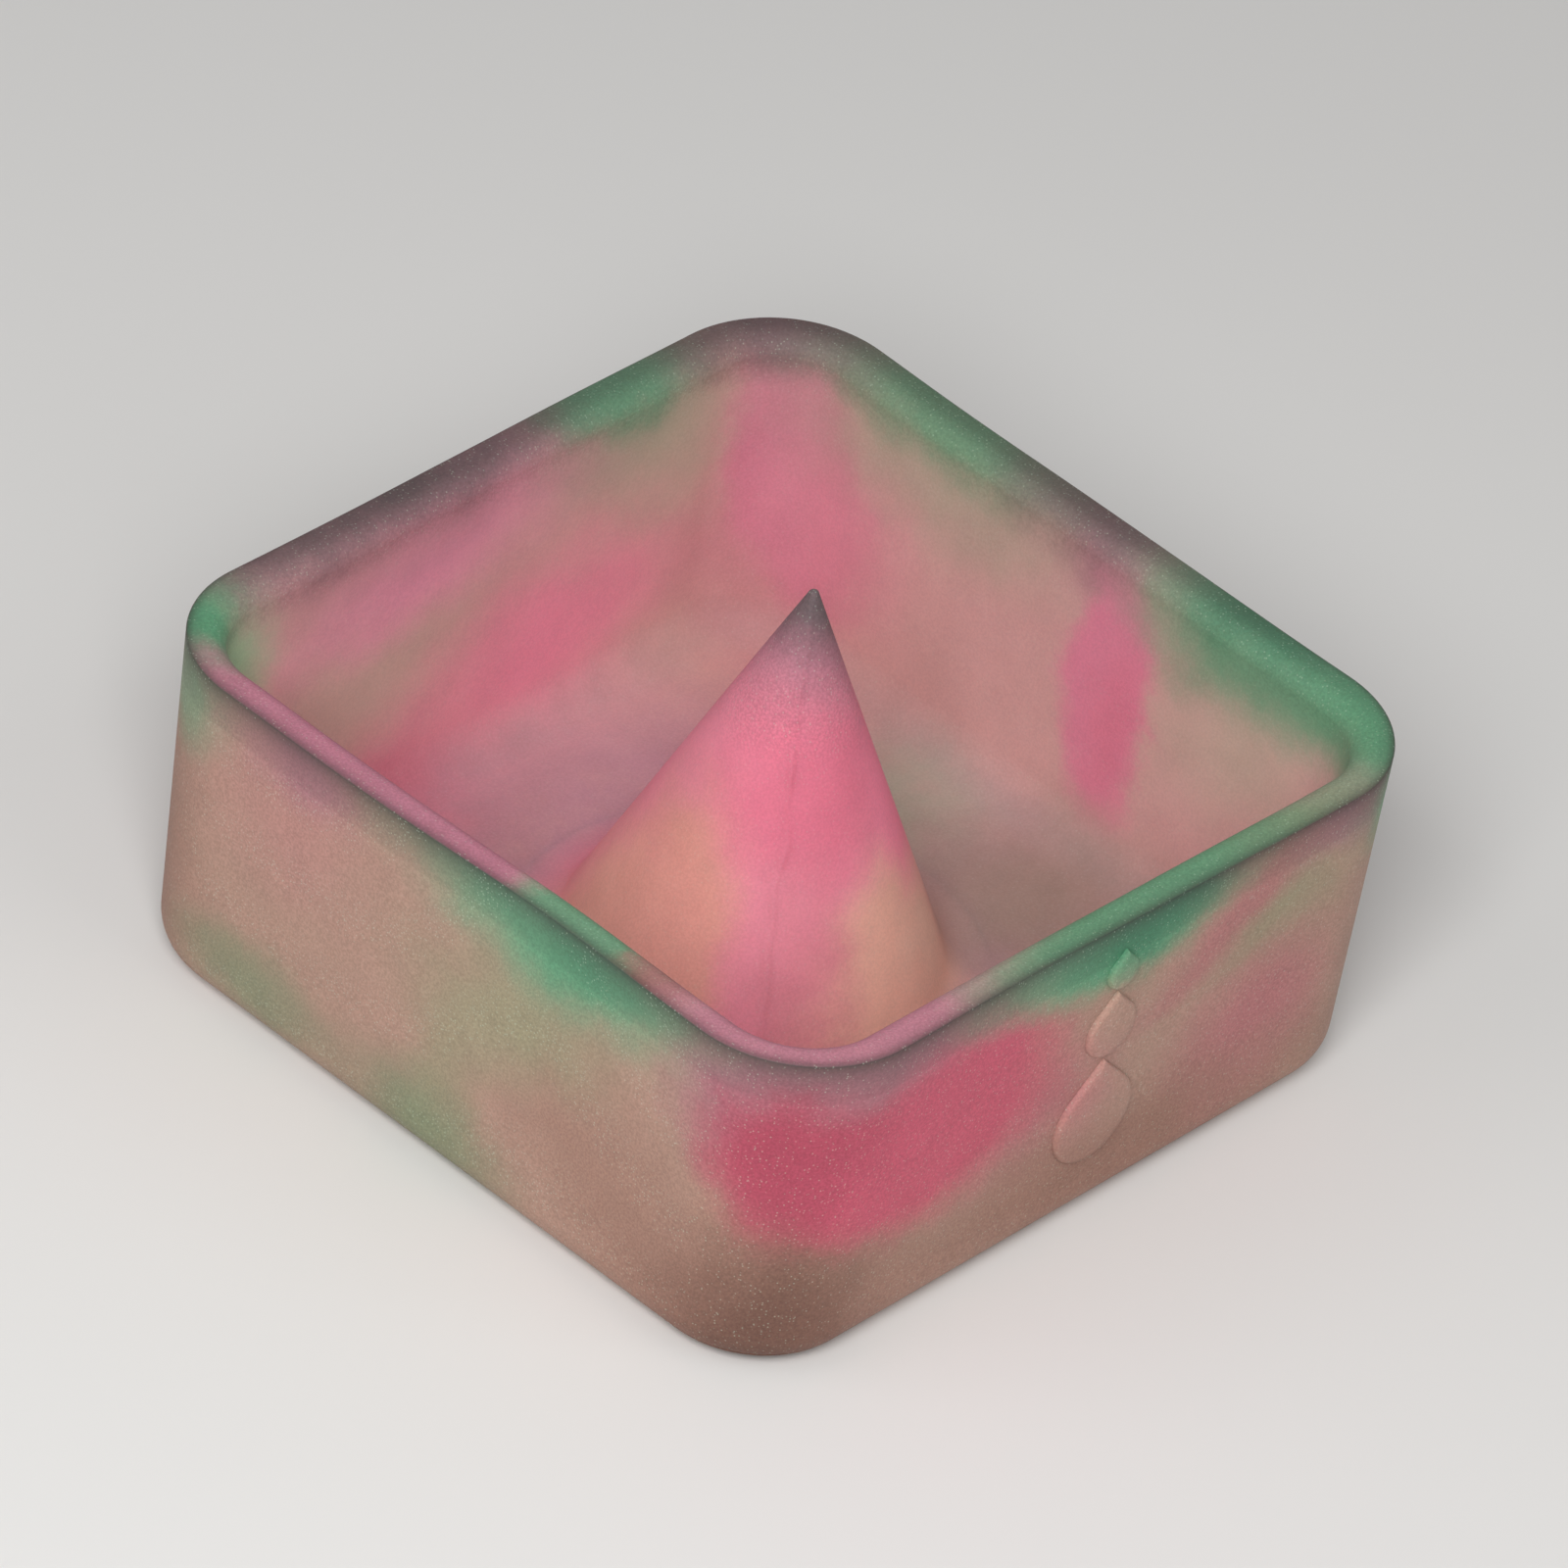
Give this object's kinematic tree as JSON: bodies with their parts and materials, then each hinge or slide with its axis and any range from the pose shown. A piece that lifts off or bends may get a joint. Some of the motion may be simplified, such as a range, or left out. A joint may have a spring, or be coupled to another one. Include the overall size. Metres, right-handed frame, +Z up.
{
  "type": "silicone casting mould",
  "caption": "Square open-top soft silicone tray mould with rounded corners and a pointed cone standing in the middle, for casting resin pieces with a tapered hollow.",
  "frame": {"origin": "middle of the underside, on the surface the mould stands on", "axes": "+Z up out of the open mouth; the wall that carries the raised drops faces -Y; X and Y run square to the walls"},
  "size_m": [0.115, 0.1157, 0.0632],
  "materials": {
    "swirl_silicone": "matt translucent silicone with pink, green and beige dye clouds and fine glitter",
    "cone_silicone": "matt translucent silicone, pink and peach, grey at the tip",
    "base_silicone": "matt silicone, beige",
    "mark_silicone": "matt silicone, as the wall behind it, slightly paler"
  },
  "bodies": {
    "root": {"tray_body": "swirl_silicone", "centre_cone": "cone_silicone", "base_sheet": "base_silicone", "side_drop_large": "mark_silicone", "side_drop_middle": "mark_silicone", "side_drop_small": "mark_silicone"}
  },
  "joints": []
}
